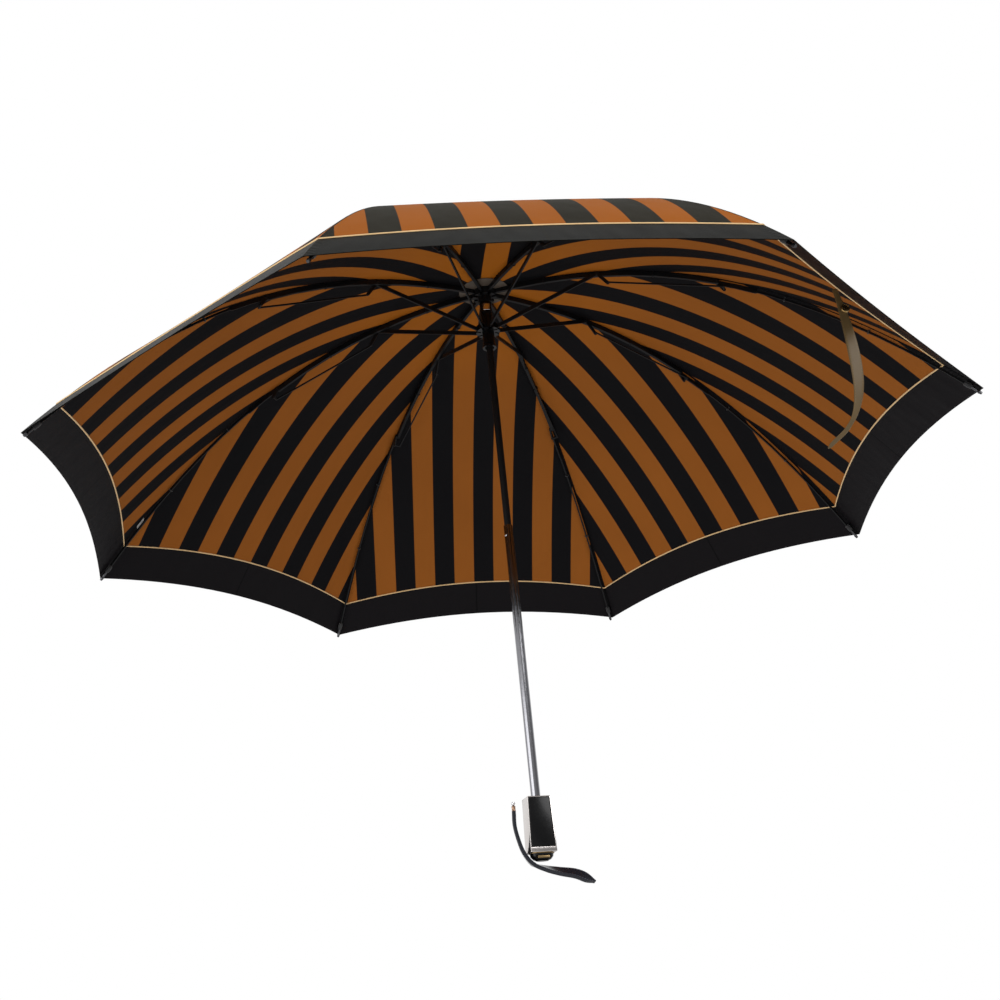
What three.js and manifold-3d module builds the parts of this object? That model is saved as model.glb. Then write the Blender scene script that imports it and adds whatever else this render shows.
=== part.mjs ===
// Two-fold pocket umbrella, open. Millimetres, +Z up the shaft, origin on the shaft axis at the
// foot of the handle. Eight ribs stand every 45 degrees, halfway between the X and Y axes.
import * as THREE from 'three';
import { mergeVertices } from 'three/addons/utils/BufferGeometryUtils.js';
import Module from 'manifold-3d';

const wasm = await Module();
wasm.setup();

// ---- driving dimensions ----
const RIBS = 8;
const RIM_RADIUS = 520; // shaft axis to rib tip
const RIM_Z = 408; // height of the rib tips
const DOME_HEIGHT = 264; // rib tips to the canopy's peak
const DOME_POWER = 2.3; // how late the dome falls away
const GORE_SAG = 5; // how far a gore sinks between two ribs
const HEM_RISE = 0.026; // scallop of the hem, as a share of the rib
const CLOTH = 1.2;

const RIB_DROP = 4.2; // rib centreline under the cloth
const HINGE_RADIUS = 11.5; // rib and stretcher hinges to the shaft axis
const KNEE_RADIUS = 140; // where the stretcher holds the main rib
const ELBOW_RADIUS = 275.6; // where the outer rib hinges on the main rib
const RUNNER_HINGE_DROP = 50; // crown hinges to runner hinges, open
const MAIN_HALF_DEPTH = 2.6;
const STRETCHER_HALF_DEPTH = 2.4;
const OUTER_HALF_DEPTH = 1.2;
const ARM_HALF_DEPTH = 1.9; // the short arm and ear that hold the link pins
const TIP_REACH = 7.4; // radial length of the metal tip on a rib
const STRETCHER_ARM = { length: 19.722, angle: -35 }; // knee to link pin, from the knee-elbow line
const OUTER_EAR = { length: 12, angle: -40 }; // elbow to link pin, from the knee-elbow line

// side-by-side layers of one rib's linkage, across its plane
const LAYERS = { main: [-1.7, 1.7], stretcher: [-3.6, -2], outer: [2, 3.6], link: [-5.2, -4] };

const UPPER_TUBE = { outer: 3.95, inner: 3.25, bottom: 332, top: 690 };
const LOWER_TUBE = { outer: 4.9, inner: 4.15, bottom: 13.6, top: 366 };
const TUBE_SIDES = 24;
const CATCH = { height: 354, azimuth: 220, radius: 1.6, inner: 4.88, outer: 5.9 };

const CROWN = { radius: 14, top: 670.2, thickness: 8.4, bossRadius: 8, bossBottom: 655, bore: 4.25 };
const RUNNER = { bore: 5.3, radius: 7, bottom: 593, top: 654, ringRadius: 14, ringHalf: 3.6 };
const BUTTON = { width: 8.4, height: 9, inner: 6.8, outer: 9, z: 645 };

const HANDLE = { turn: 12, bottom: 8, top: 64, bottomWidth: 28, topWidth: 24.5, depth: 19 };
const FRAME_SIDE = 1;
const FRAME_TOP = 1;
const FRAME_BAND = 5;
const PANEL = 1.6;
const FIT = 0.3; // gap between pieces that touch

// ---- materials ----
const BLACK_STEEL = [0x141416, 0.38, 0.85];
const CHROME = [0xd8dade, 0.12, 1];
const BLACK_PLASTIC = [0x0c0c0d, 0.3, 0];
const BRASS = [0xb08a4a, 0.25, 1];
const LEATHER = [0x16171c, 0.35, 0];
const SATIN = [0x7a6a4c, 0.45, 0];
const CANOPY_CLOTH = [0x8c4a16, 0.8, 0];
const DISC_CLOTH = [0x8f7c66, 0.9, 0];

const model = new THREE.Group();

function addMesh(parent, name, geometry, [color, roughness, metalness]) {
  const material = new THREE.MeshStandardMaterial({ color, roughness, metalness });
  const mesh = new THREE.Mesh(geometry, material);
  mesh.name = name;
  parent.add(mesh);
  return mesh;
}

// ---- joining and cutting ----
function toSolid(geometry) {
  const bare = geometry.clone();
  bare.deleteAttribute('normal');
  bare.deleteAttribute('uv');
  const merged = mergeVertices(bare, 1e-4);
  return new wasm.Manifold(new wasm.Mesh({
    numProp: 3,
    vertProperties: Float32Array.from(merged.attributes.position.array),
    triVerts: Uint32Array.from(merged.index.array),
  }));
}

function toGeometry(solid) {
  const mesh = solid.getMesh();
  const geometry = new THREE.BufferGeometry();
  geometry.setAttribute('position', new THREE.BufferAttribute(mesh.vertProperties, 3));
  geometry.setIndex(new THREE.BufferAttribute(mesh.triVerts, 1));
  geometry.computeVertexNormals();
  return geometry;
}

function cut(geometry, ...tools) {
  const start = toSolid(geometry);
  return toGeometry(tools.reduce((solid, tool) => solid.subtract(toSolid(tool)), start));
}

function join(geometry, ...others) {
  const start = toSolid(geometry);
  return toGeometry(others.reduce((solid, other) => solid.add(toSolid(other)), start));
}

// ---- shape helpers ----
const radians = THREE.MathUtils.degToRad;
const spot = (x, z) => new THREE.Vector2(x, z);

// turns [radius, height] pairs about Z
function turned(pairs, sides = TUBE_SIDES) {
  const profile = pairs.map(([radius, height]) => spot(radius, height));
  return new THREE.LatheGeometry(profile, sides).rotateX(Math.PI / 2);
}

function pipe(inner, outer, bottom, top, sides = TUBE_SIDES) {
  return turned([[inner, bottom], [outer, bottom], [outer, top], [inner, top], [inner, bottom]], sides);
}

function block(x, y, z) {
  const size = [x, y, z].map(([low, high]) => high - low);
  const middle = [x, y, z].map(([low, high]) => (low + high) / 2);
  return new THREE.BoxGeometry(...size).translate(...middle);
}

// an outline in the XZ plane, made solid between two Y values
function plate(shape, [near, far]) {
  return new THREE.ExtrudeGeometry(shape, { depth: far - near, bevelEnabled: false, curveSegments: 6 })
    .rotateX(Math.PI / 2)
    .translate(0, far, 0);
}

// a rod along Y
function rod(x, z, radius, [near, far], sides = 8) {
  return new THREE.CylinderGeometry(radius, radius, far - near, sides)
    .translate(x, (near + far) / 2, z);
}

function polar(centre, length, angle) {
  return spot(centre.x + length * Math.cos(radians(angle)), centre.y + length * Math.sin(radians(angle)));
}

function angleOf(from, to) {
  return THREE.MathUtils.radToDeg(Math.atan2(to.y - from.y, to.x - from.x));
}

// the outline of a bar of even depth along a line, with round ends
function barShape(line, half) {
  const last = line.length - 1;
  const along = line.map((_, i) => angleOf(line[Math.max(i - 1, 0)], line[Math.min(i + 1, last)]));
  const upper = line.map((point, i) => polar(point, half, along[i] + 90));
  const lower = line.map((point, i) => polar(point, half, along[i] - 90));
  const nose = [45, 0, -45].map((turn) => polar(line[last], half, along[last] + turn));
  const tail = [-135, 180, 135].map((turn) => polar(line[0], half, along[0] + turn));
  return new THREE.Shape([...upper, ...nose, ...lower.reverse(), ...tail]);
}

// ---- the dome ----
function domeHeight(radius) {
  return RIM_Z + DOME_HEIGHT * (1 - (radius / RIM_RADIUS) ** DOME_POWER);
}

function domeSlope(radius) {
  const steepest = (DOME_HEIGHT * DOME_POWER) / RIM_RADIUS;
  return Math.atan(steepest * (radius / RIM_RADIUS) ** (DOME_POWER - 1));
}

// a point on a rib, its drop measured square to the cloth
function ribPoint(radius, drop = RIB_DROP) {
  const slope = domeSlope(radius);
  return spot(radius - drop * Math.sin(slope), domeHeight(radius) - drop * Math.cos(slope));
}

function ribLine(from, to, steps) {
  return Array.from({ length: steps + 1 }, (_, i) => ribPoint(from + ((to - from) * i) / steps));
}

const crownHinge = ribPoint(HINGE_RADIUS);
const knee = ribPoint(KNEE_RADIUS);
const elbow = ribPoint(ELBOW_RADIUS);
const runnerHinge = spot(crownHinge.x, crownHinge.y - RUNNER_HINGE_DROP);
const kneeToElbow = angleOf(knee, elbow);
const armPin = polar(knee, STRETCHER_ARM.length, kneeToElbow + STRETCHER_ARM.angle);
const earPin = polar(elbow, OUTER_EAR.length, kneeToElbow + OUTER_EAR.angle);

// ---- ribs ----
function mainRib() {
  return plate(barShape(ribLine(HINGE_RADIUS, ELBOW_RADIUS, 8), MAIN_HALF_DEPTH), LAYERS.main);
}

function stretcher() {
  const bar = plate(barShape([runnerHinge, knee], STRETCHER_HALF_DEPTH), LAYERS.stretcher);
  const arm = plate(barShape([knee, armPin], ARM_HALF_DEPTH), LAYERS.stretcher);
  return join(bar, arm);
}

function outerRib() {
  const wireLine = ribLine(ELBOW_RADIUS, RIM_RADIUS - TIP_REACH - 1.4, 9);
  const wire = plate(barShape(wireLine, OUTER_HALF_DEPTH), LAYERS.outer);
  const sleeve = plate(barShape(ribLine(ELBOW_RADIUS, ELBOW_RADIUS + 40, 2), MAIN_HALF_DEPTH), LAYERS.outer);
  const ear = plate(barShape([elbow, earPin], ARM_HALF_DEPTH), LAYERS.outer);
  return join(sleeve, wire, ear);
}

function controlLink() {
  const bar = plate(barShape([armPin, earPin], 0.9), LAYERS.link);
  const pin = rod(earPin.x, earPin.y, 0.9, [LAYERS.link[1] - FIT, LAYERS.outer[0] - FIT]);
  return join(bar, pin);
}

function ribTip() {
  const start = ribPoint(RIM_RADIUS - TIP_REACH);
  const end = ribPoint(RIM_RADIUS + 1);
  const length = start.distanceTo(end);
  const across = (LAYERS.outer[0] + LAYERS.outer[1]) / 2;
  return turned([[0, 0], [1.5, 0], [1.5, length * 0.6], [2, length * 0.75], [1.4, length], [0, length]], 10)
    .rotateY(Math.PI / 2 - radians(angleOf(start, end)))
    .translate(start.x, across, start.y);
}

for (let i = 1; i <= RIBS; i += 1) {
  const rib = new THREE.Group();
  rib.rotation.z = radians((360 / RIBS) * (i - 0.5));
  model.add(rib);
  addMesh(rib, `main_rib_${i}`, mainRib(), BLACK_STEEL);
  addMesh(rib, `stretcher_${i}`, stretcher(), BLACK_STEEL);
  addMesh(rib, `outer_rib_${i}`, outerRib(), BLACK_STEEL);
  addMesh(rib, `control_link_${i}`, controlLink(), BLACK_STEEL);
  addMesh(rib, `rib_tip_${i}`, ribTip(), CHROME);
}

// ---- canopy: eight gores in one sheet, straight across between ribs apart from their sag ----
const GORE_STEPS = 6;
const RADIAL_STEPS = 12;
const HALF_GORE = Math.PI / RIBS;
const HOLE_RADIUS = 6;

// share: 0 at the shaft, 1 at the hem; across: -1 and 1 at the ribs
function canopyPoint(gore, across, share, lift) {
  const hem = 1 - HEM_RISE * (1 - across ** 2);
  const start = HOLE_RADIUS / RIM_RADIUS;
  const station = start + (hem - start) * share;
  const radius = station * RIM_RADIUS;
  const middle = radius * Math.cos(HALF_GORE);
  const side = across * radius * Math.sin(HALF_GORE);
  const azimuth = 2 * HALF_GORE * gore + Math.atan2(side, middle);
  const slope = domeSlope(radius);
  const rise = lift - GORE_SAG * Math.sin(Math.PI * station) ** 2 * (1 - across ** 2);
  const reach = Math.hypot(middle, side) + rise * Math.sin(slope);
  return [reach * Math.cos(azimuth), reach * Math.sin(azimuth), domeHeight(radius) + rise * Math.cos(slope)];
}

function canopySheet() {
  const around = RIBS * GORE_STEPS;
  const positions = [];
  for (const lift of [0, CLOTH]) {
    for (let j = 0; j <= RADIAL_STEPS; j += 1) {
      for (let i = 0; i < around; i += 1) {
        const across = (2 * (i % GORE_STEPS)) / GORE_STEPS - 1;
        positions.push(...canopyPoint(Math.floor(i / GORE_STEPS), across, j / RADIAL_STEPS, lift));
      }
    }
  }
  const layer = around * (RADIAL_STEPS + 1);
  const at = (side, j, i) => side * layer + j * around + (i % around);
  const faces = [];
  const quad = (a, b, c, d) => faces.push(a, b, c, a, c, d);
  for (let i = 0; i < around; i += 1) {
    for (let j = 0; j < RADIAL_STEPS; j += 1) {
      quad(at(1, j, i), at(1, j + 1, i), at(1, j + 1, i + 1), at(1, j, i + 1));
      quad(at(0, j, i), at(0, j, i + 1), at(0, j + 1, i + 1), at(0, j + 1, i));
    }
    quad(at(0, 0, i), at(1, 0, i), at(1, 0, i + 1), at(0, 0, i + 1));
    quad(at(0, RADIAL_STEPS, i + 1), at(1, RADIAL_STEPS, i + 1), at(1, RADIAL_STEPS, i), at(0, RADIAL_STEPS, i));
  }
  const sheet = new THREE.BufferGeometry();
  sheet.setAttribute('position', new THREE.Float32BufferAttribute(positions, 3));
  sheet.setIndex(faces);
  sheet.computeVertexNormals();
  return sheet;
}

addMesh(model, 'canopy', canopySheet(), CANOPY_CLOTH);

// ---- tie strap: a ribbon sewn to the hem seam of the gore between ribs 7 and 8 ----
const TIE = { gore: 7, across: -0.05, share: 0.925, length: 178, thickness: 1 };

function tieStrap() {
  // [distance down, half width, sideways drift]
  const stations = [[0, 3, 0], [22, 6, 4], [50, 8.5, 9], [85, 6, 13], [120, 3, 12], [TIE.length, 2.5, -12]];
  const right = stations.map(([down, half, drift]) => spot(drift + half, -down));
  const left = stations.map(([down, half, drift]) => spot(drift - half, -down)).reverse();
  return plate(new THREE.Shape([...left, ...right]), [0, TIE.thickness]);
}

const tie = new THREE.Group();
tie.position.set(...canopyPoint(TIE.gore, TIE.across, TIE.share, -3));
model.add(tie);
addMesh(tie, 'tie_strap', tieStrap(), SATIN);
addMesh(tie, 'tie_snap', rod(4.5, -24, 4, [-2.3, -FIT], 16), BRASS);

// ---- crown ----
function everyRib(make) {
  return Array.from({ length: RIBS }, (_, i) => make().rotateZ(2 * HALF_GORE * (i + 0.5)));
}

function crownHub() {
  const rimBottom = CROWN.top - CROWN.thickness;
  const hub = turned([
    [CROWN.bore, CROWN.bossBottom], [CROWN.bossRadius, CROWN.bossBottom], [CROWN.bossRadius, rimBottom],
    [CROWN.radius, rimBottom], [CROWN.radius, CROWN.top], [CROWN.bore, CROWN.top],
    [CROWN.bore, CROWN.bossBottom],
  ], 48);
  const slot = () => block([CROWN.bossRadius + 0.8, 20], [-2, 2], [rimBottom - 1, CROWN.top + 1]);
  return cut(hub, ...everyRib(slot));
}

addMesh(model, 'crown_hub', crownHub(), BLACK_PLASTIC);
addMesh(model, 'crown_disc', pipe(CROWN.bore, 30, CROWN.top + 0.15, CROWN.top + 0.65, 32), DISC_CLOTH);
addMesh(model, 'upper_tube', pipe(UPPER_TUBE.inner, UPPER_TUBE.outer, UPPER_TUBE.bottom, UPPER_TUBE.top),
  BLACK_STEEL);
addMesh(model, 'top_cap', turned([
  [CROWN.bore, 673.8], [13, 673.8], [13, 675.4], [9.5, 677.5], [7.2, 684], [6.4, 692], [4, 695.5],
  [0, 696.4], [0, 690.6], [CROWN.bore, 690.6], [CROWN.bore, 673.8],
], 32), BLACK_PLASTIC);

// ---- runner ----
function runnerBody() {
  const ringLow = runnerHinge.y - RUNNER.ringHalf;
  const ringHigh = runnerHinge.y + RUNNER.ringHalf;
  const sleeve = turned([
    [RUNNER.bore, RUNNER.bottom], [RUNNER.radius + 1, RUNNER.bottom], [RUNNER.radius + 1, RUNNER.bottom + 3],
    [RUNNER.radius, RUNNER.bottom + 5], [RUNNER.radius, ringLow], [RUNNER.ringRadius, ringLow],
    [RUNNER.ringRadius, ringHigh], [RUNNER.radius, ringHigh], [RUNNER.radius, RUNNER.top],
    [RUNNER.bore, RUNNER.top], [RUNNER.bore, RUNNER.bottom],
  ], 48);
  const boss = block([-6, 6], [-8.3, -RUNNER.bore - 0.6], [BUTTON.z - 6.2, BUTTON.z + 6.2]);
  const window = block(
    [-BUTTON.width / 2 - FIT, BUTTON.width / 2 + FIT],
    [-10, -BUTTON.inner + 2],
    [BUTTON.z - BUTTON.height / 2 - FIT, BUTTON.z + BUTTON.height / 2 + FIT],
  );
  const [near, far] = LAYERS.stretcher;
  const slot = () => block([RUNNER.radius + 0.9, 20], [near - FIT, far + FIT], [ringLow - 1, ringHigh + 1]);
  const groove = block([RUNNER.bore - 1, 6.35], [-2.2, 2.2], [RUNNER.bottom - 1, RUNNER.top + 1])
    .rotateZ(radians(CATCH.azimuth));
  return cut(join(sleeve, boss), window, groove, ...everyRib(slot));
}

addMesh(model, 'runner', runnerBody(), BLACK_PLASTIC);
addMesh(model, 'runner_button', block(
  [-BUTTON.width / 2, BUTTON.width / 2],
  [-BUTTON.outer, -BUTTON.inner],
  [BUTTON.z - BUTTON.height / 2, BUTTON.z + BUTTON.height / 2],
), CHROME);

// ---- lower tube and its spring catch ----
const catchHole = new THREE.CylinderGeometry(CATCH.radius + FIT, CATCH.radius + FIT, 6, 12)
  .rotateZ(Math.PI / 2)
  .translate(6, 0, CATCH.height)
  .rotateZ(radians(CATCH.azimuth));
addMesh(model, 'lower_tube',
  cut(pipe(LOWER_TUBE.inner, LOWER_TUBE.outer, LOWER_TUBE.bottom, LOWER_TUBE.top), catchHole), CHROME);

const catchLength = CATCH.outer - CATCH.inner;
const catchStud = turned([[0, 0], [CATCH.radius, 0], [CATCH.radius, catchLength * 0.5],
  [CATCH.radius * 0.7, catchLength * 0.85], [0, catchLength]], 12)
  .rotateY(Math.PI / 2)
  .translate(CATCH.inner, 0, CATCH.height)
  .rotateZ(radians(CATCH.azimuth));
addMesh(model, 'tube_catch', catchStud, CHROME);

// ---- handle ----
const handle = new THREE.Group();
handle.rotation.z = radians(HANDLE.turn);
model.add(handle);

function halfWidth(z) {
  const share = (z - HANDLE.bottom) / (HANDLE.top - HANDLE.bottom);
  return THREE.MathUtils.lerp(HANDLE.bottomWidth, HANDLE.topWidth, share) / 2;
}

// the handle's tapered front outline, drawn in from its sides, bottom and top
function handleOutline(side, bottom, top, kind = THREE.Shape) {
  const low = HANDLE.bottom + bottom;
  const high = HANDLE.top - top;
  return new kind([
    spot(-halfWidth(low) + side, low), spot(halfWidth(low) - side, low),
    spot(halfWidth(high) - side, high), spot(-halfWidth(high) + side, high),
  ]);
}

const halfDepth = HANDLE.depth / 2;
const frameShape = handleOutline(0, 0, 0);
frameShape.holes.push(handleOutline(FRAME_SIDE, FRAME_BAND, FRAME_TOP, THREE.Path));
const tubeHole = turned([[0, 40], [5.2, 40], [5.2, 70], [0, 70]]);
addMesh(handle, 'handle_frame', cut(plate(frameShape, [-halfDepth, halfDepth]), tubeHole), CHROME);

const coreHalf = halfDepth - PANEL - 0.2;
const coreShape = handleOutline(FRAME_SIDE + FIT, FRAME_BAND + FIT, FRAME_TOP + FIT);
const coreBore = turned([[0, 10], [5.2, 10], [5.2, 70], [0, 70]]);
addMesh(handle, 'handle_core', cut(plate(coreShape, [-coreHalf, coreHalf]), coreBore), BLACK_PLASTIC);

const panelShape = handleOutline(FRAME_SIDE + FIT, FRAME_BAND + FIT, FRAME_TOP + FIT);
addMesh(handle, 'front_panel', plate(panelShape, [-halfDepth - 0.3, -coreHalf - FIT]), BLACK_PLASTIC);
addMesh(handle, 'back_panel', plate(panelShape, [coreHalf + FIT, halfDepth + 0.3]), BLACK_PLASTIC);

const BASE_TOP = HANDLE.bottom - FIT;
const baseCap = turned([[0, 0], [6, 0], [9.5, 1.6], [12, 4.4], [12.6, BASE_TOP], [0, BASE_TOP]], 32)
  .scale(1, 0.66, 1);
const anchorSlot = block([-8, 8], [-20, -4.5], [2, 5.2]);
addMesh(handle, 'base_cap', cut(baseCap, anchorSlot), BLACK_PLASTIC);
addMesh(handle, 'strap_anchor', block([-6.4, 6.4], [-7.4, -4.5 - FIT], [2.4, 4.8]), BRASS);

// ---- wrist strap: a stiff leather band that passes under the foot ----
const STRAP = { half: 1.3, width: 12 };
const strapRoute = new THREE.CatmullRomCurve3([
  [-25, 50], [-25.5, 36], [-23, 22], [-18.5, 8.5], [-10, -2.6], [3, -7.6], [18, -11], [36, -14.5], [54, -23],
].map(([x, z]) => new THREE.Vector3(x, 0, z)));
const strapLine = strapRoute.getSpacedPoints(20).map((point) => spot(point.x, point.z));
addMesh(handle, 'wrist_strap', plate(barShape(strapLine, STRAP.half), [-STRAP.width / 2, STRAP.width / 2]),
  LEATHER);
addMesh(handle, 'strap_ferrule', block([-27, -23], [-3, 3], [51.6 + FIT, 59]), BRASS);

export default model;
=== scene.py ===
import math

import bmesh
import bpy
from mathutils import Matrix, Vector


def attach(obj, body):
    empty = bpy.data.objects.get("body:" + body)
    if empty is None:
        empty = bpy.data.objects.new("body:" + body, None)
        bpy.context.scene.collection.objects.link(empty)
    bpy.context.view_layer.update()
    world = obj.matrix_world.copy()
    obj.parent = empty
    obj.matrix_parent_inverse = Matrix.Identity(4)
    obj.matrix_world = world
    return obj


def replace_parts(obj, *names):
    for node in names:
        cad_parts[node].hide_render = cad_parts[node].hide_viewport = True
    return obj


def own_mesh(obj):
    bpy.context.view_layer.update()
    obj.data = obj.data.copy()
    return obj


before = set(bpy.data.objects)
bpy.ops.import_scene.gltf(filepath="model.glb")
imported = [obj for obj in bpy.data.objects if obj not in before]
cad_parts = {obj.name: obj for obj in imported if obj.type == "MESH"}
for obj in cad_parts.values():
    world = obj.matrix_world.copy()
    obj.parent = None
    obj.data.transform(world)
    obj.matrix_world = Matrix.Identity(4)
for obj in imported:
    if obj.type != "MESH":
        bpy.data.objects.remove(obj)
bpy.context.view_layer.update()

# ---- shared dimensions, in metres ----
RIBS = 8
HALF_GORE = math.pi / RIBS
RIM_RADIUS = 0.520
RIM_Z = 0.408
DOME_HEIGHT = 0.264
DOME_POWER = 2.3
GORE_SAG = 0.005
TAUT_GORE = 6
TAUT_SAG = -0.002
HEM_RISE = 0.026
HOLE_STATION = 0.006 / RIM_RADIUS
CLOTH = 0.0007
RIB_DROP = 0.0042
HINGE_RADIUS = 0.0115
KNEE_RADIUS = 0.140
ELBOW_RADIUS = 0.2756
ELBOW_SHARE = (ELBOW_RADIUS / RIM_RADIUS - HOLE_STATION) / (1 - HOLE_STATION)
STRIPE = 0.028
HEM_BAND = 0.048
PIPING_HEIGHT = 0.00125
PIPING_WIDTH = 0.001
WIRE_SIDES = 8  # points round a thin wire or cord
HANDLE_TURN = math.radians(12)
TIE_GORE = 7
TIE_ACROSS = -0.09
TIE_SHARE = 0.925
TIE_THICKNESS = 0.0008
STRAP_HALF_WIDTH = 0.006
STRAP_THICKNESS = 0.0040
STRAP_FERRULE = (-0.025, 0, 0.0502)  # the foot of its sleeve, before the handle's turn
FLOOR_HEIGHT = -1.1
FLOOR_REACH = 40

# where the stripes start in each gore: 0 puts an orange stripe in the middle, 0.5 a black one
GORE_PHASE = {0: 0.79, 1: 0.735, 2: 0.70, 3: 0.75, 4: 0.625, 5: 0.75, 6: 0.85, 7: 0.25}


# ---- node materials ----
class Look:
    """A small wrapper round one material's node tree."""

    def __init__(self, name):
        self.material = bpy.data.materials.new(name)
        self.material.use_nodes = True
        self.tree = self.material.node_tree
        self.shader = self.tree.nodes["Principled BSDF"]

    def node(self, kind, **values):
        made = self.tree.nodes.new(kind)
        for key, value in values.items():
            if hasattr(made, key):
                setattr(made, key, value)
            else:
                made.inputs[key].default_value = value
        return made

    def link(self, source, target):
        self.tree.links.new(source, target)

    def math(self, operation, first, second=None, third=None):
        made = self.node("ShaderNodeMath", operation=operation)
        for slot, value in enumerate((first, second, third)):
            if value is None:
                continue
            if isinstance(value, (int, float)):
                made.inputs[slot].default_value = value
            else:
                self.link(value, made.inputs[slot])
        return made.outputs[0]

    def attribute(self, name):
        return self.node("ShaderNodeAttribute", attribute_name=name).outputs["Fac"]

    def position(self):
        return self.node("ShaderNodeTexCoord").outputs["Object"]

    def noise(self, scale, detail=3.0, vector=None):
        made = self.node("ShaderNodeTexNoise")
        made.inputs["Scale"].default_value = scale
        made.inputs["Detail"].default_value = detail
        self.link(vector or self.position(), made.inputs["Vector"])
        return made.outputs["Fac"]

    def mix(self, factor, first, second):
        made = self.node("ShaderNodeMix", data_type="RGBA")
        for slot, value in ((0, factor), (6, first), (7, second)):
            if isinstance(value, tuple):
                made.inputs[slot].default_value = (*value, 1)
            elif isinstance(value, (int, float)):
                made.inputs[slot].default_value = value
            else:
                self.link(value, made.inputs[slot])
        return made.outputs[2]

    def bump(self, height, strength, distance=0.001):
        made = self.node("ShaderNodeBump")
        made.inputs["Strength"].default_value = strength
        made.inputs["Distance"].default_value = distance
        self.link(height, made.inputs["Height"])
        self.link(made.outputs[0], self.shader.inputs["Normal"])

    def set(self, **values):
        for key, value in values.items():
            name = key.replace("_", " ")
            if isinstance(value, tuple):
                self.shader.inputs[name].default_value = (*value, 1)
            elif isinstance(value, (int, float)):
                self.shader.inputs[name].default_value = value
            else:
                self.link(value, self.shader.inputs[name])


def scaled(tint, factor):
    return tuple(factor * part for part in tint)


def metal(name, tint, roughness, scuff, metallic=1.0, coat=0.0):
    """Metal or plated plastic, with faint handling marks in its gloss."""
    look = Look(name)
    marks = look.noise(260, 5)
    smears = look.noise(38, 2)
    spread = look.math("MULTIPLY", look.math("ADD", marks, smears), scuff)
    look.set(
        Base_Color=look.mix(smears, tint, scaled(tint, 0.86)),
        Roughness=look.math("ADD", spread, roughness - scuff / 2),
    )
    look.set(Metallic=metallic, Coat_Weight=coat, Coat_Roughness=0.08)
    look.set(Specular_IOR_Level=0.5 if metallic else 0.2)
    look.bump(marks, 0.06, 0.0004)
    return look.material


def cloth(name, orange, black, outside):
    """Striped canopy cloth: stripes along each gore, a plain hem band, and on the inside a painted
    light that brightens the orange towards the crown.
    """
    look = Look(name)
    across = look.attribute("stripe")
    hem = look.attribute("hem")
    rib = look.attribute("rib")
    turns = look.math("FRACT", look.math("ADD", look.math("DIVIDE", across, 2 * STRIPE), 50.25))
    ramp = look.node("ShaderNodeMapRange", interpolation_type="SMOOTHSTEP")
    edge = look.math("ABSOLUTE", look.math("SUBTRACT", turns, 0.25))
    near = look.math("MINIMUM", edge, look.math("SUBTRACT", 1.0, edge))
    look.link(near, ramp.inputs["Value"])
    for slot, value in enumerate((0.243, 0.257, 1.0, 0.0), start=1):
        ramp.inputs[slot].default_value = value
    stripe = ramp.outputs[0]
    weave_place = look.node("ShaderNodeCombineXYZ")
    look.link(across, weave_place.inputs[0])
    look.link(hem, weave_place.inputs[1])
    slub = look.noise(900, 2, weave_place.outputs[0])
    shade = look.noise(9, 3)
    warm = look.mix(shade, scaled(orange, 0.88), scaled(orange, 1.08))
    dark = look.mix(shade, scaled(black, 0.8), scaled(black, 1.25))
    # painted light: on the inside only, the orange is painted brighter and less blue towards the
    # crown, standing in for light shining through the canopy
    painted_crown_light = look.node("ShaderNodeMapRange", interpolation_type="SMOOTHSTEP")
    look.link(hem, painted_crown_light.inputs["Value"])
    for slot, value in enumerate((0.30, 0.62, 0.0, 0.0 if outside else 1.0), start=1):
        painted_crown_light.inputs[slot].default_value = value
    warm = look.mix(painted_crown_light.outputs[0], warm, (1.35 * orange[0], 1.28 * orange[1], 0.5 * orange[2]))
    striped = look.mix(stripe, dark, warm)
    in_hem = look.math("LESS_THAN", hem, HEM_BAND)
    banded = look.mix(in_hem, striped, (0.009, 0.009, 0.0075) if outside else (0.007, 0.006, 0.007))
    join = look.math("MULTIPLY", in_hem, look.math("LESS_THAN", look.attribute("middle"), 0.0009))
    seam = look.math("MAXIMUM", join, look.math("LESS_THAN", rib, 0.0016))
    look.set(Base_Color=look.mix(seam, banded, scaled(black, 0.6)))
    rough = look.math("ADD", look.math("MULTIPLY", slub, 0.18), 0.5)
    look.set(Roughness=look.math("SUBTRACT", rough, look.math("MULTIPLY", in_hem, 0.16)))
    look.set(Specular_IOR_Level=0.02 if outside else 0.05)
    pucker = look.math("SINE", look.math("MULTIPLY", hem, 1400))
    by_rib = look.math("MULTIPLY", pucker, look.math("LESS_THAN", rib, 0.007))
    stitched = look.math("SUBTRACT", 1.0, look.math("COMPARE", hem, HEM_BAND - 0.004, 0.0006))
    edge_fold = look.math("LESS_THAN", hem, 0.006)
    puckers = look.math("MULTIPLY", by_rib, 0.25)
    height = look.math("ADD", look.math("MULTIPLY", slub, 0.35), puckers)
    height = look.math("ADD", height, look.math("ADD", stitched, edge_fold))
    height = look.math("SUBTRACT", height, look.math("MULTIPLY", join, 2.0))
    stretched = look.node("ShaderNodeMapping")
    look.link(weave_place.outputs[0], stretched.inputs["Vector"])
    stretched.inputs["Scale"].default_value = (1.0, 0.35, 1.0)
    wrinkle = look.noise(26, 2, stretched.outputs[0])
    height = look.math("ADD", height, look.math("MULTIPLY", wrinkle, 7.0))
    look.bump(height, 0.5, 0.0008)
    return look.material


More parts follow.
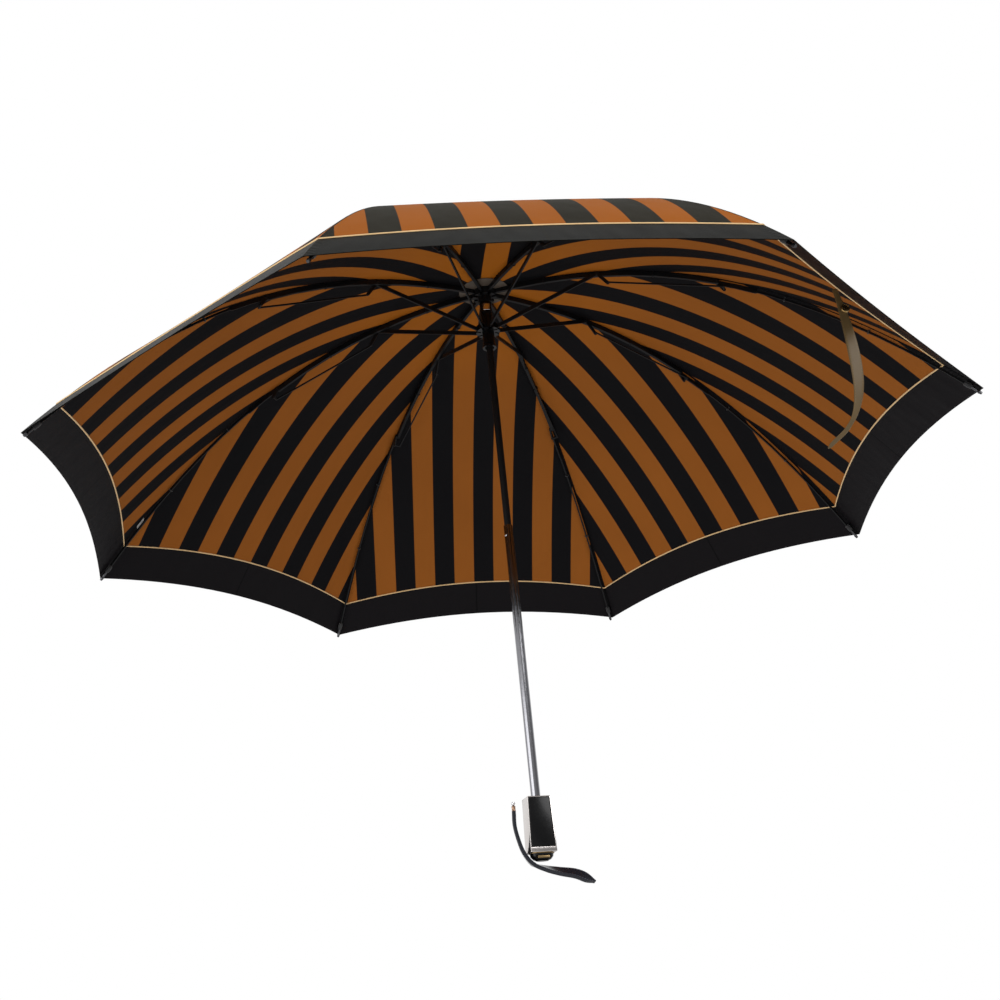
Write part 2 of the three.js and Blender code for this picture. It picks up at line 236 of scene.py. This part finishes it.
def ribbon_look(name, tint, roughness, line=None):
    """A woven or leather band, with a run of stitches down each edge."""
    look = Look(name)
    side = look.attribute("side")
    along = look.attribute("along")
    grain = look.noise(700 if line else 1500, 4)
    fade = look.noise(45, 2)
    base = look.mix(fade, tint, scaled(tint, 1.35))
    beat = look.math("GREATER_THAN", look.math("SINE", look.math("MULTIPLY", along, 2200)), -0.35)
    place = look.math("COMPARE", look.math("ABSOLUTE", side), 0.76, 0.06)
    stitch = look.math("MULTIPLY", beat, place)
    look.set(Base_Color=look.mix(stitch, base, line or scaled(tint, 1.6)))
    look.set(Roughness=look.math("ADD", look.math("MULTIPLY", grain, 0.2), roughness - 0.1))
    look.set(Coat_Weight=0.12 if line else 0.0, Sheen_Weight=0.0 if line else 0.06)
    look.set(Specular_IOR_Level=0.25 if line else 0.3)
    look.bump(look.math("ADD", grain, look.math("MULTIPLY", stitch, 0.8)), 0.3, 0.0005)
    return look.material


def plain_cloth(name, tint):
    look = Look(name)
    thread = look.noise(1600, 3)
    fade = look.noise(60, 2)
    look.set(Base_Color=look.mix(fade, tint, scaled(tint, 0.7)))
    look.set(Roughness=look.math("ADD", look.math("MULTIPLY", thread, 0.2), 0.6))
    look.set(Sheen_Weight=0.2)
    look.bump(thread, 0.4, 0.0006)
    return look.material


BLACK_STEEL = metal("black_steel_look", (0.0045, 0.0045, 0.005), 0.45, 0.1, 0.0, 0.03)
TUBE_CHROME = metal("tube_chrome_look", (0.30, 0.30, 0.32), 0.1, 0.04)
CHROME = metal("chrome_look", (0.72, 0.72, 0.74), 0.12, 0.08)
TIP_METAL = metal("rib_tip_look", (0.08, 0.08, 0.085), 0.25, 0.1)
ROSE_CHROME = metal("frame_chrome_look", (0.66, 0.62, 0.6), 0.14, 0.08)
BRASS = metal("brass_look", (0.72, 0.48, 0.2), 0.2, 0.1)
GLOSS_BLACK = metal("gloss_black_look", (0.003, 0.003, 0.0035), 0.2, 0.08, 0.0, 0.06)
DULL_BRASS = metal("dull_brass_look", (0.30, 0.21, 0.10), 0.3, 0.1)
OUTSIDE = cloth("canopy_outside_look", (0.346, 0.099, 0.009), (0.020, 0.0175, 0.011), True)
INSIDE = cloth("canopy_inside_look", (0.278, 0.088, 0.0130), (0.0045, 0.0042, 0.005), False)
PIPING = plain_cloth("piping_look", (0.92, 0.62, 0.30))
DISC = plain_cloth("disc_look", (0.075, 0.050, 0.030))
TAG = plain_cloth("tag_look", (0.46, 0.44, 0.42))
THREAD = plain_cloth("thread_look", (0.012, 0.012, 0.013))
SATIN = ribbon_look("satin_look", (0.085, 0.054, 0.020), 0.42)
LEATHER = ribbon_look("leather_look", (0.011, 0.012, 0.017), 0.22, (0.075, 0.08, 0.11))
COPPER = metal("copper_look", (0.40, 0.25, 0.17), 0.3, 0.1)


# ---- mesh helpers ----
def finish_piece(name, vertices, faces, materials, body, face_materials=None):
    mesh = bpy.data.meshes.new(name)
    mesh.from_pydata([tuple(v) for v in vertices], [], faces)
    for material in materials:
        mesh.materials.append(material)
    if face_materials:
        mesh.polygons.foreach_set("material_index", face_materials)
    mesh.polygons.foreach_set("use_smooth", [True] * len(mesh.polygons))
    mesh.update()
    piece = bpy.data.objects.new(name, mesh)
    bpy.context.scene.collection.objects.link(piece)
    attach(piece, body)
    return piece


def add_values(piece, name, values):
    layer = piece.data.attributes.new(name, "FLOAT", "POINT")
    layer.data.foreach_set("value", values)


class Build:
    """Gathers several simple closed shapes into one mesh."""

    def __init__(self):
        self.vertices = []
        self.faces = []

    def grid_tube(self, rings):
        """Joins equal rings of points into a closed tube."""
        start = len(self.vertices)
        count = len(rings[0])
        for ring in rings:
            self.vertices.extend(ring)
        for row in range(len(rings) - 1):
            for i in range(count):
                j = (i + 1) % count
                low = start + row * count
                self.faces.append((low + i, low + j, low + count + j, low + count + i))
        last = start + (len(rings) - 1) * count
        self.faces.append(tuple(start + i for i in reversed(range(count))))
        self.faces.append(tuple(last + i for i in range(count)))

    def lathe(self, centre, axis, profile, sides=14):
        """Turns (radius, distance) pairs about an axis through centre."""
        turn = Vector((0, 0, 1)).rotation_difference(Vector(axis)).to_matrix()
        rings = []
        angles = [math.tau * i / sides for i in range(sides)]
        for radius, distance in profile:
            circle = [Vector((radius * math.cos(a), radius * math.sin(a), distance)) for a in angles]
            rings.append([Vector(centre) + turn @ point for point in circle])
        self.grid_tube(rings)

    def ring_round(self, centre, axis, radius, wire, flat=1.0, sides=18):
        """A closed loop of round wire about an axis."""
        turn = Vector((0, 0, 1)).rotation_difference(Vector(axis)).to_matrix()
        start = len(self.vertices)
        for i in range(sides):
            angle = math.tau * i / sides
            for k in range(WIRE_SIDES):
                tilt = math.tau * k / WIRE_SIDES
                out = radius + wire * math.cos(tilt)
                across = out * math.sin(angle) * flat
                local = Vector((out * math.cos(angle), across, wire * math.sin(tilt)))
                self.vertices.append(Vector(centre) + turn @ local)
        for i in range(sides):
            here = start + i * WIRE_SIDES
            there = start + (i + 1) % sides * WIRE_SIDES
            for k in range(WIRE_SIDES):
                after = (k + 1) % WIRE_SIDES
                a = here + k
                b = here + after
                c = there + after
                d = there + k
                self.faces.append((a, d, c, b))

    def done(self, name, material, body, turn=0.0):
        rotation = Matrix.Rotation(turn, 3, "Z")
        points = [rotation @ Vector(v) for v in self.vertices]
        piece = finish_piece(name, points, self.faces, [material], body)
        tidy = bmesh.new()
        tidy.from_mesh(piece.data)
        bmesh.ops.recalc_face_normals(tidy, faces=tidy.faces)
        tidy.to_mesh(piece.data)
        tidy.free()
        for edge in piece.data.edges:
            edge.use_edge_sharp = False
        piece.data.set_sharp_from_angle(angle=math.radians(35))
        return piece


# ---- the dome ----
def dome_height(radius):
    return RIM_Z + DOME_HEIGHT * (1 - (radius / RIM_RADIUS) ** DOME_POWER)


def dome_slope(radius):
    steepest = DOME_HEIGHT * DOME_POWER / RIM_RADIUS
    return math.atan(steepest * (radius / RIM_RADIUS) ** (DOME_POWER - 1))


def rib_point(radius, drop=RIB_DROP):
    slope = dome_slope(radius)
    return radius - drop * math.sin(slope), dome_height(radius) - drop * math.cos(slope)


def station_at(across, share):
    hem = 1 - HEM_RISE * (1 - across ** 2)
    return HOLE_STATION + (hem - HOLE_STATION) * share


def canopy_point(gore, across, share, lift=0.0):
    station = station_at(across, share)
    radius = station * RIM_RADIUS
    middle = radius * math.cos(HALF_GORE)
    side = across * radius * math.sin(HALF_GORE)
    azimuth = 2 * HALF_GORE * gore + math.atan2(side, middle)
    slope = dome_slope(radius)
    sag = TAUT_SAG if gore % RIBS == TAUT_GORE else GORE_SAG
    rise = lift - sag * math.sin(math.pi * station) ** 2 * (1 - across ** 2)
    reach = math.hypot(middle, side) + rise * math.sin(slope)
    height = dome_height(radius) + rise * math.cos(slope)
    return Vector((reach * math.cos(azimuth), reach * math.sin(azimuth), height))


def canopy_normal(gore, across, share):
    step = 0.004
    along = canopy_point(gore, across, share + step) - canopy_point(gore, across, share - step)
    low = across - step
    high = across + step
    sideways = canopy_point(gore, high, share) - canopy_point(gore, low, share)
    return along.cross(sideways).normalized()


def hem_distances(gore, across, shares):
    """Distance to the hem along the cloth, for each share."""
    steps = 60
    points = [canopy_point(gore, across, k / steps) for k in range(steps + 1)]
    left = [0.0]
    for k in range(steps, 0, -1):
        left.append(left[-1] + (points[k] - points[k - 1]).length)
    left.reverse()
    found = []
    for share in shares:
        place = min(share * steps, steps - 1e-6)
        k = int(place)
        found.append(left[k] + (left[k + 1] - left[k]) * (place - k))
    return found


def share_at_hem_distance(gore, across, distance):
    low, high = 0.6, 1.0
    for _ in range(14):
        middle = (low + high) / 2
        if hem_distances(gore, across, [middle])[0] > distance:
            low = middle
        else:
            high = middle
    return low


def rib_direction(i):
    return 2 * HALF_GORE * (i - 0.5)


def flatten_with_fold(piece):
    """Gives a piece its own copy of its mesh data."""
    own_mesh(piece)


def canopy_section(i, name, body, low, high, rows):
    """The cloth either side of one rib, between two shares of its length."""
    columns = 10
    vertices, normals, faces, looks = [], [], [], []
    stripe, hem, rib, middle = [], [], [], []
    for gore, sign in ((i - 1, 1), (i, -1)):
        start = len(vertices)
        shares = [low + (high - low) * r / rows for r in range(rows + 1)]
        grid = [[None] * (columns + 1) for _ in range(rows + 1)]
        for c in range(columns + 1):
            across = sign * c / columns
            distances = hem_distances(gore, across, shares)
            for r, share in enumerate(shares):
                grid[r][c] = (across, share, distances[r])
        for lift, facing in ((CLOTH, 1), (0.0, -1)):
            for row in grid:
                for across, share, distance in row:
                    vertices.append(canopy_point(gore, across, share, lift))
                    normal = canopy_normal(gore, max(-0.995, min(0.995, across)), share)
                    normals.append(normal * facing * (1 if normal.z > 0 else -1))
                    radius = station_at(across, share) * RIM_RADIUS
                    half = radius * math.sin(HALF_GORE)
                    phase = GORE_PHASE[gore % RIBS] * 2 * STRIPE
                    stripe.append(across * half + phase)
                    hem.append(distance)
                    rib.append((1 - abs(across)) * half)
                    middle.append(abs(across) * half)
        width = columns + 1
        layer = width * (rows + 1)

        def at(side, r, c):
            return start + side * layer + r * width + c

        for r in range(rows):
            for c in range(columns):
                top = (at(0, r, c), at(0, r + 1, c), at(0, r + 1, c + 1), at(0, r, c + 1))
                bottom = (at(1, r, c), at(1, r, c + 1), at(1, r + 1, c + 1), at(1, r + 1, c))
                if sign < 0:
                    top, bottom = top[::-1], bottom[::-1]
                faces.extend((top, bottom))
                looks.extend((0, 1))
        if high == 1:
            for c in range(columns):
                rim = (at(0, rows, c), at(1, rows, c), at(1, rows, c + 1), at(0, rows, c + 1))
                faces.append(rim if sign > 0 else rim[::-1])
                looks.append(0)
    cloths = [OUTSIDE, INSIDE]
    piece = finish_piece(f"{name}_{i}", vertices, faces, cloths, body, looks)
    for label, values in (("stripe", stripe), ("hem", hem), ("rib", rib), ("middle", middle)):
        add_values(piece, label, values)
    piece.data.normals_split_custom_set_from_vertices([tuple(n) for n in normals])
    flatten_with_fold(piece)
    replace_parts(piece, "canopy")


def piping(i):
    """The cord sewn between the striped cloth and the hem band."""
    build = Build()
    columns = 16
    for gore, sign in ((i - 1, 1), (i, -1)):
        rings = []
        for c in range(columns + 1):
            across = sign * c / columns
            share = share_at_hem_distance(gore, across, HEM_BAND)
            centre = canopy_point(gore, across, share, CLOTH / 2)
            normal = canopy_normal(gore, max(-0.99, min(0.99, across)), share)
            down = (canopy_point(gore, across, share + 0.004) - centre).normalized()
            ring = []
            for k in range(WIRE_SIDES):
                angle = math.tau * k / WIRE_SIDES
                out = normal * PIPING_HEIGHT * math.sin(angle)
                ring.append(centre + out + down * PIPING_WIDTH * math.cos(angle))
            rings.append(ring)
        build.grid_tube(rings)
    piece = build.done(f"hem_piping_{i}", PIPING, f"outer_rib_{i}")
    flatten_with_fold(piece)


def rib_fittings(i):
    """Rivets at each hinge, cloth ties round the rib, and the pocket over the tip."""
    turn = rib_direction(i)
    side = (0, 1, 0)

    def rivet(build, x, z, low, high, radius):
        length = high - low
        profile = [(0.0002, 0), (radius * 0.8, 0), (radius, 0.0003), (radius, length - 0.0003),
                   (radius * 0.7, length), (0.0002, length + 0.0002)]
        build.lathe((x, low, z), side, profile)

    knee = rib_point(KNEE_RADIUS)
    elbow = rib_point(ELBOW_RADIUS)
    crown = rib_point(HINGE_RADIUS)
    angle = math.atan2(elbow[1] - knee[1], elbow[0] - knee[0])

    def beyond(point, length, degrees):
        heading = angle + math.radians(degrees)
        return point[0] + length * math.cos(heading), point[1] + length * math.sin(heading)

    arm = beyond(knee, 0.019722, -35)
    ear = beyond(elbow, 0.012, -40)
    main = Build()
    rivet(main, *elbow, -0.0021, 0.0041, 0.0015)
    for radius in (0.075, 0.205):
        x, z = rib_point(radius)
        heading = -dome_slope(radius)
        main.ring_round((x, 0, z), (math.cos(heading), 0, math.sin(heading)), 0.0033, 0.0005)
    main.done(f"main_rib_rivets_{i}", BLACK_STEEL, f"main_rib_{i}", turn)

    brace = Build()
    rivet(brace, *knee, -0.0041, 0.0022, 0.0016)
    rivet(brace, crown[0], crown[1] - 0.050, -0.0038, -0.0018, 0.0012)
    brace.done(f"stretcher_rivets_{i}", BLACK_STEEL, f"stretcher_{i}", turn)

    wire = Build()
    rivet(wire, *arm, -0.0056, -0.0018, 0.0012)
    rivet(wire, *ear, -0.0056, 0.0040, 0.0012)
    wire.done(f"link_rivets_{i}", BLACK_STEEL, f"control_link_{i}", turn)

    outer = Build()
    for radius in (0.345, 0.425):
        x, z = rib_point(radius)
        heading = -dome_slope(radius)
        outer.ring_round((x, 0.0028, z), (math.cos(heading), 0, math.sin(heading)), 0.0021, 0.0006)
    x, z = rib_point(RIM_RADIUS - 0.013)
    heading = -dome_slope(RIM_RADIUS - 0.013)
    outer.lathe((x, 0.0028, z), (math.cos(heading), 0, math.sin(heading)),
                [(0.0002, 0), (0.0024, 0.0004), (0.0028, 0.004), (0.0024, 0.009), (0.0002, 0.0094)])
    outer.done(f"outer_rib_ties_{i}", THREAD, f"outer_rib_{i}", turn)


for i in range(1, RIBS + 1):
    canopy_section(i, "canopy_inner", f"main_rib_{i}", 0.0, ELBOW_SHARE, 14)
    canopy_section(i, "canopy_outer", f"outer_rib_{i}", ELBOW_SHARE, 1.0, 18)
    piping(i)
    rib_fittings(i)


# ---- bands ----
def band(name, stations, half_widths, thickness, material, body, turn=0.0, shift=(0, 0, 0)):
    """A flat band through (centre, width direction) stations, with a rounded rectangle section."""
    vertices, faces, sides, lengths = [], [], [], []
    section = [(1, -0.4), (1, 0.4), (0.93, 1), (0.5, 1), (0, 1), (-0.5, 1), (-0.93, 1), (-1, 0.4),
               (-1, -0.4), (-0.93, -1), (-0.5, -1), (0, -1), (0.5, -1), (0.93, -1)]
    rotation = Matrix.Rotation(turn, 3, "Z")
    travelled = 0.0
    for k, (centre, across) in enumerate(stations):
        before = stations[max(k - 1, 0)][0]
        after = stations[min(k + 1, len(stations) - 1)][0]
        along = (after - before).normalized()
        wide = (across - along * across.dot(along)).normalized()
        thick = along.cross(wide)
        if k:
            travelled += (centre - before).length
        for u, v in section:
            point = centre + wide * half_widths[k] * u + thick * thickness / 2 * v
            vertices.append(rotation @ point + Vector(shift))
            sides.append(u)
            lengths.append(travelled)
    count = len(section)
    for k in range(len(stations) - 1):
        for n in range(count):
            m = (n + 1) % count
            faces.append((k * count + n, k * count + m, (k + 1) * count + m, (k + 1) * count + n))
    faces.append(tuple(reversed(range(count))))
    faces.append(tuple((len(stations) - 1) * count + n for n in range(count)))
    piece = finish_piece(name, vertices, faces, [material], body)
    add_values(piece, "side", sides)
    add_values(piece, "along", lengths)
    fixer = bmesh.new()
    fixer.from_mesh(piece.data)
    bmesh.ops.recalc_face_normals(fixer, faces=fixer.faces)
    fixer.to_mesh(piece.data)
    fixer.free()
    piece.data.set_sharp_from_angle(angle=math.radians(50))
    return piece, travelled


def smooth_route(points, count):
    """Catmull-Rom through the points, evenly stepped in parameter."""
    route = []
    padded = [points[0] * 2 - points[1], *points, points[-1] * 2 - points[-2]]
    for n in range(count + 1):
        place = n / count * (len(points) - 1)
        k = min(int(place), len(points) - 2)
        t = place - k
        a, b, c, d = padded[k:k + 4]
        route.append(0.5 * (2 * b + (c - a) * t + (2 * a - 5 * b + 4 * c - d) * t * t
                            + (3 * b - a - 3 * c + d) * t ** 3))
    return route


def wrist_strap():
    route = smooth_route([Vector((x / 1000, 0, z / 1000)) for x, z in (
        (-25, 50), (-25.5, 36), (-23, 22), (-18.5, 8.5), (-10, -2.6), (3, -7.6),
        (18, -11), (36, -14.5), (54, -23))], 72)
    stations, widths = [], []
    for k, centre in enumerate(route):
        share = k / (len(route) - 1)
        twist = math.radians(62) * max(0.0, (share - 0.5) / 0.5) ** 0.8
        level = math.cos(twist)
        stations.append((centre, Vector((0.33 * level, 0.94 * level, math.sin(twist)))))
        nose = min(1.0, (1 - share) / 0.09)
        widths.append(STRAP_HALF_WIDTH * max(0.12, math.sin(nose * math.pi / 2)))
    strap, length = band("wrist_strap_band", stations, widths, STRAP_THICKNESS, LEATHER,
                         "handle", turn=HANDLE_TURN)
    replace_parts(strap, "wrist_strap")


def tie_strap():
    anchor = canopy_point(TIE_GORE, TIE_ACROSS, TIE_SHARE) - Vector((0, 0, 0.003))
    route = smooth_route([Vector(p) / 1000 for p in (
        (0, 0, 0), (2, -2, -22), (3, -4, -48), (3, -5, -76), (2, -4, -100), (-1, -2, -118),
        (-7, 0, -134), (-17, 1, -148), (-30, 0, -159), (-38, 0, -166))], 64)
    stations, widths = [], []
    for k, centre in enumerate(route):
        share = k / (len(route) - 1)
        twist = math.radians(40 * share - 12)
        stations.append((centre, Vector((math.cos(twist), math.sin(twist), 0.1))))
        nose = min(1.0, (1 - share) / 0.05)
        swell = 0.0022 + 0.0036 * math.sin(math.pi * min(1.0, share / 0.72)) ** 1.3
        widths.append(swell * max(0.3, math.sin(nose * math.pi / 2)))
    strap, length = band("tie_ribbon", stations, widths, TIE_THICKNESS, SATIN,
                         "tie_strap", shift=anchor)
    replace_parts(strap, "tie_strap")
    flatten_with_fold(strap)
    snap = Build()
    profile = [(0.0002, -0.0022), (0.003, -0.0022), (0.0045, -0.0014), (0.0045, -0.0006),
               (0.0018, 0.0006), (0.0002, 0.0006)]
    centre = anchor + Vector((0.0045, -0.0030, -0.024))
    snap.lathe(centre, (0, 1, 0), profile, 24)
    snap.ring_round(centre - Vector((0, 0.0018, 0)), (0, 1, 0), 0.0036, 0.0005, 1.0, 24)
    button = snap.done("tie_snap_button", BRASS, "tie_strap")
    flatten_with_fold(button)
    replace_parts(button, "tie_snap")


wrist_strap()
tie_strap()


# ---- rounded copies of hard pieces ----
def rounded(node, material, body, width):
    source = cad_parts[node]
    mesh = source.data.copy()
    shape = bmesh.new()
    shape.from_mesh(mesh)
    bmesh.ops.remove_doubles(shape, verts=shape.verts, dist=1e-5)
    flatness = math.radians(1)
    bmesh.ops.dissolve_limit(shape, angle_limit=flatness, verts=shape.verts, edges=shape.edges)
    shape.to_mesh(mesh)
    shape.free()
    mesh.materials.clear()
    mesh.materials.append(material)
    piece = bpy.data.objects.new(f"{node}_shape", mesh)
    bpy.context.scene.collection.objects.link(piece)
    bevel = piece.modifiers.new("edges", "BEVEL")
    bevel.width = width
    bevel.segments = 3
    bevel.limit_method = "ANGLE"
    bevel.angle_limit = math.radians(40)
    bevel.harden_normals = True
    mesh.polygons.foreach_set("use_smooth", [True] * len(mesh.polygons))
    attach(piece, body)
    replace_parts(piece, node)
    return piece


rounded("handle_frame", ROSE_CHROME, "handle", 0.0009)
rounded("front_panel", GLOSS_BLACK, "handle", 0.0006)
rounded("back_panel", GLOSS_BLACK, "handle", 0.0006)
rounded("strap_anchor", DULL_BRASS, "handle", 0.0004)
sleeve = Build()
sleeve.lathe(STRAP_FERRULE, (0, 0, 1), [
    (0.0002, 0), (0.0020, 0), (0.0022, 0.0006), (0.0019, 0.0012), (0.0019, 0.0046),
    (0.0022, 0.0052), (0.0018, 0.0058), (0.0010, 0.0062), (0.0002, 0.0064)], 20)
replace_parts(sleeve.done("strap_sleeve", COPPER, "handle", HANDLE_TURN), "strap_ferrule")
bead = Build()
bead.lathe((-0.025, 0, 0.0563), (0, 0, 1), [
    (0.0002, 0), (0.0010, 0.0003), (0.0018, 0.0012), (0.0021, 0.0024), (0.0018, 0.0036),
    (0.0002, 0.0043)], 20)
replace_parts(bead.done("strap_bead", CHROME, "handle", HANDLE_TURN), "strap_ferrule")
rounded("runner_button", CHROME, "runner_catch", 0.0006)

FRAME_NODES = ("main_rib", "stretcher", "outer_rib", "control_link", "upper_tube", "crown_hub")
for node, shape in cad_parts.items():
    if node.startswith(FRAME_NODES):
        look = BLACK_STEEL
    elif node == "lower_tube":
        look = TUBE_CHROME
    elif node in ("runner", "base_cap", "top_cap", "handle_core"):
        look = GLOSS_BLACK
    elif node == "crown_disc":
        look = DISC
    elif node.startswith("rib_tip"):
        look = TIP_METAL
    elif node == "tube_catch":
        look = CHROME
    else:
        continue
    shape.data.materials.clear()
    shape.data.materials.append(look)

base = Build()
base.ring_round((0, 0, 0.0078), (0, 0, 1), 0.0128, 0.0007, 0.67, 48)
base.done("base_gilt_edge", DULL_BRASS, "handle", HANDLE_TURN)

care_tag = Build()
seam = canopy_point(4, -0.985, 0.886, -0.0012)
run = canopy_point(4, -0.985, 0.904, -0.0012) - seam
wide = canopy_point(4, -0.950, 0.886, -0.0012) - seam
thick = Vector((0, 0, -0.0005))
corners = [seam, seam + run, seam + wide + run, seam + wide]
care_tag.grid_tube([corners, [point + thick for point in corners]])
tag = care_tag.done("sewn_tag", TAG, "outer_rib_4")
flatten_with_fold(tag)

# ---- setting, light and camera ----
floor_mesh = bpy.data.meshes.new("floor")
corners = ((-1, -1), (1, -1), (1, 1), (-1, 1))
corners = [(x * FLOOR_REACH, y * FLOOR_REACH, FLOOR_HEIGHT) for x, y in corners]
floor_mesh.from_pydata(corners, [], [(0, 1, 2, 3)])
floor = bpy.data.objects.new("floor", floor_mesh)
bpy.context.scene.collection.objects.link(floor)
paper = Look("floor_look")
paper.set(Base_Color=(0.85, 0.85, 0.85), Roughness=0.85)
floor_mesh.materials.append(paper.material)

scene = bpy.context.scene
scene.view_settings.view_transform = "Standard"
world = bpy.data.worlds.new("studio")
world.use_nodes = True
sky = world.node_tree
direction = sky.nodes.new("ShaderNodeTexCoord")
parts = sky.nodes.new("ShaderNodeSeparateXYZ")
fade = sky.nodes.new("ShaderNodeMapRange")
fade.interpolation_type = "SMOOTHSTEP"
for slot, value in enumerate((-0.1, 0.45), start=1):
    fade.inputs[slot].default_value = value
fade.inputs[4].default_value = 1.0
room = sky.nodes.new("ShaderNodeMapRange")
for slot, value in enumerate((-0.7, 0.6, 0.8, 0.3), start=1):
    room.inputs[slot].default_value = value
sky.links.new(parts.outputs[0], room.inputs["Value"])
sky.links.new(room.outputs[0], fade.inputs[3])
sky.links.new(direction.outputs["Generated"], parts.inputs[0])
sky.links.new(parts.outputs[1], fade.inputs["Value"])
sky.links.new(fade.outputs[0], sky.nodes["Background"].inputs["Color"])
scene.world = world


def area_light(name, place, target, size, power):
    light = bpy.data.lights.new(name, "AREA")
    light.size = size
    light.energy = power
    holder = bpy.data.objects.new(name, light)
    holder.location = place
    holder.rotation_euler = (Vector(target) - Vector(place)).to_track_quat("-Z", "Y").to_euler()
    scene.collection.objects.link(holder)


area_light("key", (1.6, -2.2, 1.7), (0, 0, 0.45), 1.4, 36)
area_light("fill", (-2.2, -1.8, 0.0), (0.25, 0, 0.5), 2.0, 33)

camera_data = bpy.data.cameras.new("camera")
camera_data.lens = 48.91
camera_data.sensor_width = 36
camera = bpy.data.objects.new("camera", camera_data)
right = Vector((0.99214, -0.07812, -0.093))
up = Vector((0.05334, -0.40018, 0.915))
back = right.cross(up).normalized()
right = up.cross(back).normalized()
up = back.cross(right)
camera.matrix_world = Matrix.Translation((-0.17168, -1.39132, -0.201)) @ Matrix((
    (right.x, up.x, back.x), (right.y, up.y, back.y), (right.z, up.z, back.z))).to_4x4()
scene.collection.objects.link(camera)
scene.camera = camera
